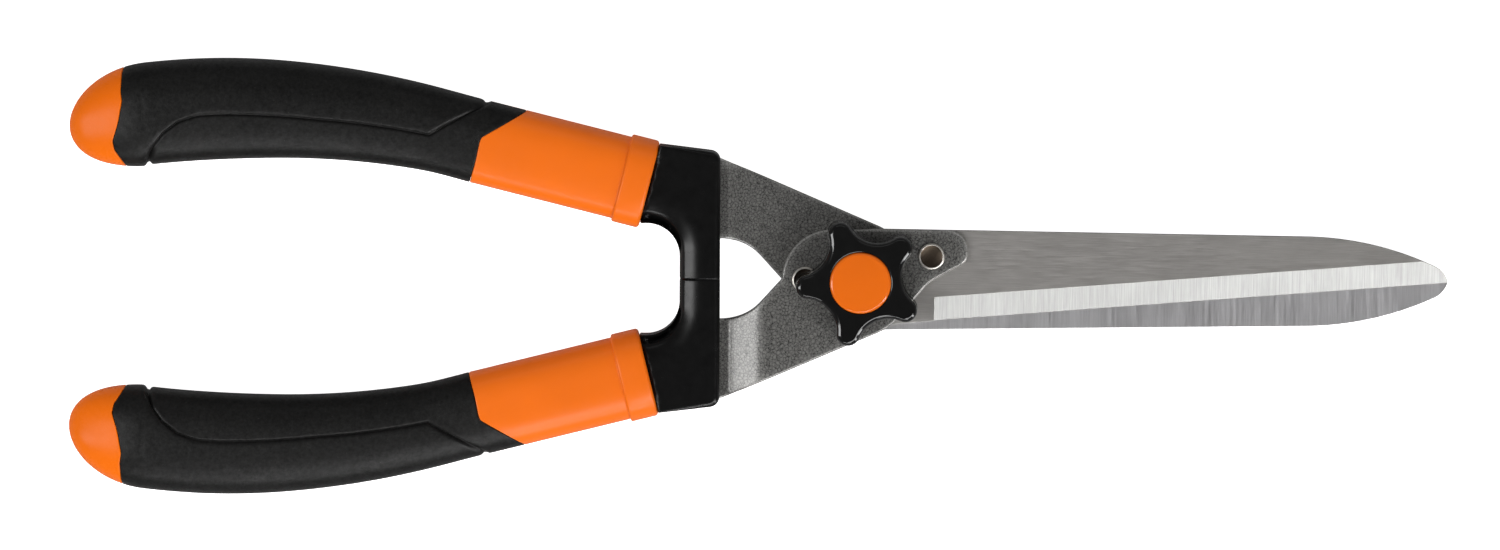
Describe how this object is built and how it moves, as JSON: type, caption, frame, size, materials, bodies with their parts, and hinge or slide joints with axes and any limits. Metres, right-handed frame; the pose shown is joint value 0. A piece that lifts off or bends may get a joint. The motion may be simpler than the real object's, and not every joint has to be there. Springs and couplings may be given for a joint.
{
  "type": "grass shears",
  "caption": "Hand grass shears with two crossing blades, curved two-tone handles, bumper blocks between the arms and a star knob on the pivot that sets the blade pressure.",
  "frame": {"origin": "middle of the flat back of the pivot bolt's head, on the pivot's axis", "axes": "+X from the pivot to the blade tips along the closed shears' centre line, +Z along the bolt towards the star knob, +Y to the side of the rear half's handle"},
  "size_m": [0.5324, 0.1686, 0.0382],
  "materials": {
    "blade_steel": "ground",
    "hammered_paint": "hammered",
    "rivet_steel": "satin",
    "bumper_plastic": "gloss",
    "orange_plastic": "semi-gloss",
    "grip_rubber": "matte",
    "zinc_steel": "zinc-plated",
    "spring_steel": "satin",
    "knob_plastic": "gloss"
  },
  "bodies": {
    "rear_half": {"rear_blade": "blade_steel", "rear_arm": "hammered_paint", "rear_rivets": "rivet_steel", "rear_bolster": "bumper_plastic", "rear_core": "orange_plastic", "rear_grip": "grip_rubber", "rear_end_cap": "orange_plastic", "pivot_bolt": "zinc_steel", "spring_washer": "spring_steel"},
    "front_half": {"front_blade": "blade_steel", "front_arm": "hammered_paint", "front_rivets": "rivet_steel", "front_bolster": "bumper_plastic", "front_core": "orange_plastic", "front_grip": "grip_rubber", "front_end_cap": "orange_plastic"},
    "thrust_washer": {"flat_washer": "zinc_steel"},
    "knob": {"knob": "knob_plastic", "knob_nut": "zinc_steel", "knob_cap": "orange_plastic"}
  },
  "joints": [
    {"name": "blade_pivot", "type": "hinge", "parent": "rear_half", "child": "front_half", "pos_m": [0, 0, 0], "axis": [0, 0, 1], "range_deg": [0, 90]},
    {"name": "washer_lift", "type": "slide", "parent": "rear_half", "child": "thrust_washer", "axis": [0, 0, 1], "range_m": [0, 0.00125], "deforming": ["spring_washer"]},
    {"name": "knob_turn", "type": "hinge", "parent": "thrust_washer", "child": "knob", "pos_m": [0, 0, 0], "axis": [0, 0, 1], "range_deg": [0, 360]}
  ],
  "couplings": [
    {"joint": "washer_lift", "follows": "knob_turn", "m_per_rad": 0.00019894}
  ]
}
